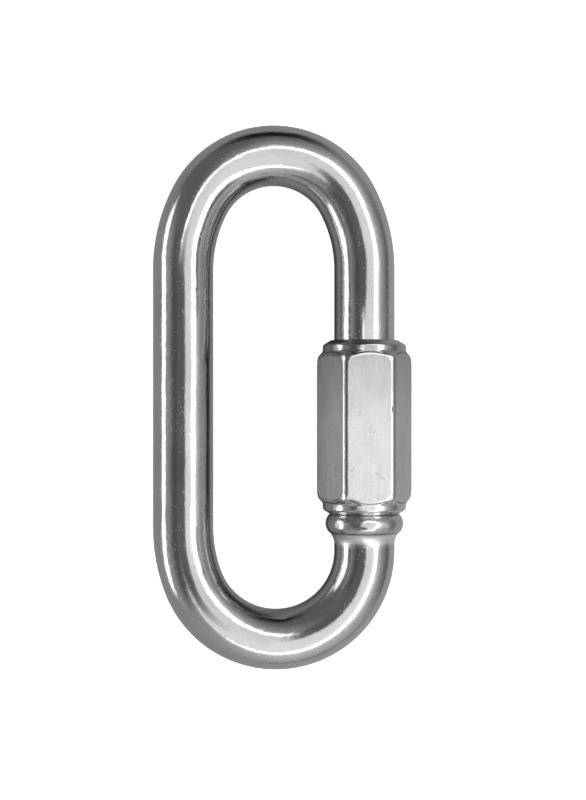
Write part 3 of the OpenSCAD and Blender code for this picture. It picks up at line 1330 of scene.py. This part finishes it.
    def low_line(self, w: Wires, way: Way, light: Value) -> bpy.types.NodeSocket:
        """A thin dark line just under the horizon at the lower right.

        Args:
            w: the world's tree.
            way: the direction.
            light: the brightness behind it.

        Returns:
            The brightness with it.
        """
        corner = w.sum("MULTIPLY", w.step(way.sine, *self.line_up), w.step(way.cosine, *self.line_right))
        line = w.band(way.tilt, *self.line_tilt, self.line_soft)
        return w.mix(light, self.line_light, w.sum("MULTIPLY", corner, line))

    def hang(self) -> bpy.types.World:
        """Builds the tent layer by layer and makes it the scene's world.

        Returns:
            The world.
        """
        world = bpy.data.worlds.new("light_tent")
        world.use_nodes = True
        w = Wires(world.node_tree)
        way = self.way(w)
        light = self.ground(w, way)
        for layer in (self.walls, self.roof, self.gap, self.low_line):
            light = layer(w, way, light)
        shader = w.add("ShaderNodeBackground", {"Color": (1.0, 1.0, 1.0, 1.0), "Strength": light})
        w.add("ShaderNodeOutputWorld", {"Surface": shader.outputs[0]})
        bpy.context.scene.world = world
        return world


@dataclass(frozen=True)
class Strip:
    """A dark strip over a stretch of the bar.

    The anchor is a share of the bar's length; the ends are distances along the bar from there, and the sides
    are distances out of the loop.
    """

    name: str
    anchor: float
    ends: Span
    sides: Span


@dataclass
class Studio:
    """Pale floor, dark cards that only polished metal sees, and a lens close above the link."""

    lie: Lie = field(default_factory=Lie)
    route: Route = field(default_factory=Route)
    lens_lean_deg: float = 4.8
    lens_distance: float = 280.0
    lens_reach: Span = Span(0.01, 20.0)
    sensor: float = 36.0
    view_height: float = 132.45
    aim_right: float = 3.16
    aim_up: float = -0.42
    floor_half: float = 6.0
    floor_drop: float = 2e-5
    floor_grey: float = 0.88
    floor_stain: float = 0.01
    floor_clouds: Pattern = Pattern(40.0)
    floor_dull: float = 0.9
    floor_glow: float = 0.85
    shade_columns: int = 120
    shade_reach: Span = Span(0.02, 0.9)
    shade_middle: float = 0.3
    shade_deep: Span = Span(-3.0, 8.0)
    shade_glow: float = 0.04
    card_rows: int = 24
    card_columns: int = 96
    card_reach: Span = Span(0.02, 1.0)
    card_fade: Span = Span(1.0, 0.7)
    card_height: float = 20.0
    card_glow: float = 0.14
    strips: tuple[Strip, ...] = (
        Strip("lower_gate_strip", 0.0, Span(6.0, 33.0), Span(-9.0, 2.0)),
        Strip("plain_limb_strip", 0.5, Span(-53.0, 23.0), Span(-3.9, 7.5)),
        Strip("upper_gate_strip", 1.0, Span(-47.0, -16.0), Span(-9.0, 2.0)),
    )

    def set_floor(self) -> bpy.types.Object:
        """Lays a plain pale floor under the link; polished metal sees the tent's grey floor in its place.

        Returns:
            The floor.
        """
        side = np.array([-self.floor_half, self.floor_half])
        x, y = np.meshgrid(side, side)
        points = np.stack((x.ravel(), y.ravel(), np.full(x.size, -self.floor_drop)), axis=1)
        mesh = bpy.data.meshes.new("floor")
        mesh.from_pydata(points, [], [(0, 1, 3, 2)])
        mesh.update()
        floor = bpy.data.objects.new("floor", mesh)
        bpy.context.scene.collection.objects.link(floor)
        made = bpy.data.materials.new("pale_floor")
        made.use_nodes = True
        w = Wires(made.node_tree)
        clouds = w.noise(w.add("ShaderNodeTexCoord", {}).outputs["Object"], self.floor_clouds)
        greys = Span(self.floor_grey - self.floor_stain, self.floor_grey + self.floor_stain)
        inputs = {
            "Base Color": w.greyed(w.ramp(clouds, *CLOUDY, *greys)),
            "Roughness": self.floor_dull,
            "Emission Color": (1.0, 1.0, 1.0, 1.0),
            "Emission Strength": self.floor_glow,
        }
        shader = w.add("ShaderNodeBsdfPrincipled", inputs)
        w.add("ShaderNodeOutputMaterial", {"Surface": shader.outputs[0]})
        mesh.materials.append(made)
        floor.visible_glossy = False
        return floor

    @staticmethod
    def hang_card(name: str, grid: np.ndarray, cover: np.ndarray, glow: float) -> bpy.types.Object:
        """Hangs a dark card that only polished metal sees.

        Args:
            name: name of the card.
            grid: points in metres, rows by columns by 3, with the rows from its middle to its rim.
            cover: share of the tent that is hidden, rows by columns.
            glow: brightness of the card.

        Returns:
            The card.
        """
        card = skin(name, grid, Ends.OPEN)
        mark(card, Mark.COVER, np.broadcast_to(cover, grid.shape[:2]))
        made = bpy.data.materials.new(name)
        made.use_nodes = True
        w = Wires(made.node_tree)
        clear = w.add("ShaderNodeBsdfTransparent", {}).outputs[0]
        dark = w.add("ShaderNodeEmission", {"Strength": glow}).outputs[0]
        shader = w.add("ShaderNodeMixShader", {0: w.attribute(Mark.COVER), 1: clear, 2: dark})
        w.add("ShaderNodeOutputMaterial", {"Surface": shader.outputs[0]})
        card.data.materials.append(made)
        card.visible_camera = False
        card.visible_diffuse = False
        card.visible_shadow = False
        return card

    def shade_inside(self) -> bpy.types.Object:
        """Lays the shade that the loop throws on the floor inside it, deeper beside the gate limb.

        A point is the loop's centre line drawn in towards the middle by a share, laid flat on the floor.

        Returns:
            The shade.
        """
        line, _ = self.route.along(np.linspace(0, self.route.length, self.shade_columns))
        share = np.linspace(*self.shade_reach, self.card_rows)
        grid = self.lie.placed(share[:, None, None] * line[None])
        grid[..., 2] = 0.0
        deep = eased(share[:, None] * line[:, 0], *self.shade_deep)
        cover = self.shade_middle + (1 - self.shade_middle) * deep
        return self.hang_card("inner_shade", grid, cover, self.shade_glow)

    def shade_stretch(self, strip: Strip) -> bpy.types.Object:
        """Hangs a soft-edged strip over a stretch of the bar, which darkens the middle of its polish.

        The rim is a box with round corners: half its width and length times the square roots of the cosine
        and the sine of an angle. A point is the rim drawn in towards the middle by a share, laid out along
        the bar's centre line and across it, at a height over the loop.

        Args:
            strip: the strip's name, ends and sides.

        Returns:
            The strip.
        """
        angle = np.arange(self.card_columns) * FULL_TURN / self.card_columns
        wide = np.sign(np.cos(angle)) * np.sqrt(np.abs(np.cos(angle)))
        long = np.sign(np.sin(angle)) * np.sqrt(np.abs(np.sin(angle)))
        share = np.linspace(*self.card_reach, self.card_rows)[:, None]
        middle = strip.anchor * self.route.length + np.mean(strip.ends)
        along = middle + np.ptp(strip.ends) / 2 * share * long
        across = np.mean(strip.sides) + np.ptp(strip.sides) / 2 * share * wide
        centre, outward = self.route.along(along.ravel())
        points = centre + across.reshape(-1, 1) * outward + (0.0, 0.0, self.card_height)
        grid = self.lie.placed(points).reshape(*along.shape, 3)
        return self.hang_card(strip.name, grid, eased(share, *self.card_fade), self.card_glow)

    def shade_bar(self) -> list[bpy.types.Object]:
        """Hangs the strips over the lower gate arm and its bend, the plain limb and the upper gate arm."""
        return [self.shade_stretch(strip) for strip in self.strips]

    def set_camera(self) -> bpy.types.Object:
        """Stands the lens over the link, leaning towards the plain limb, with the loop upright.

        Returns:
            The camera.
        """
        lean = np.radians(self.lens_lean_deg)
        back = Vector((-np.sin(lean), 0.0, np.cos(lean)))
        right = Vector((np.cos(lean), 0.0, np.sin(lean)))
        up = Vector((0.0, 1.0, 0.0))
        middle = Vector(self.lie.placed(np.zeros(3)))
        aim = middle + (right * self.aim_right + up * self.aim_up) * MM
        data = bpy.data.cameras.new("lens")
        data.lens = self.sensor * self.lens_distance / self.view_height
        data.sensor_width = self.sensor
        data.clip_start, data.clip_end = self.lens_reach
        camera = bpy.data.objects.new("lens", data)
        bpy.context.scene.collection.objects.link(camera)
        turn = Matrix((right, up, back)).transposed().to_4x4()
        camera.matrix_world = Matrix.Translation(aim + back * self.lens_distance * MM) @ turn
        bpy.context.scene.camera = camera
        return camera


def main() -> None:
    logging.basicConfig(level=logging.INFO, format="%(name)s: %(message)s")
    for piece in (LinkBar().build(), SleeveNut().build()):
        log.info("%s: %d points, %d faces", piece.name, len(piece.data.vertices), len(piece.data.polygons))
    studio = Studio()
    tent = LightTent(studio.lens_lean_deg)
    stage = (studio.set_floor(), studio.shade_inside(), *studio.shade_bar())
    for item in (*stage, tent.hang(), studio.set_camera()):
        log.info("studio: %s", item.name)
    bpy.context.scene.view_settings.view_transform = "Standard"


if __name__ == "__main__":
    main()
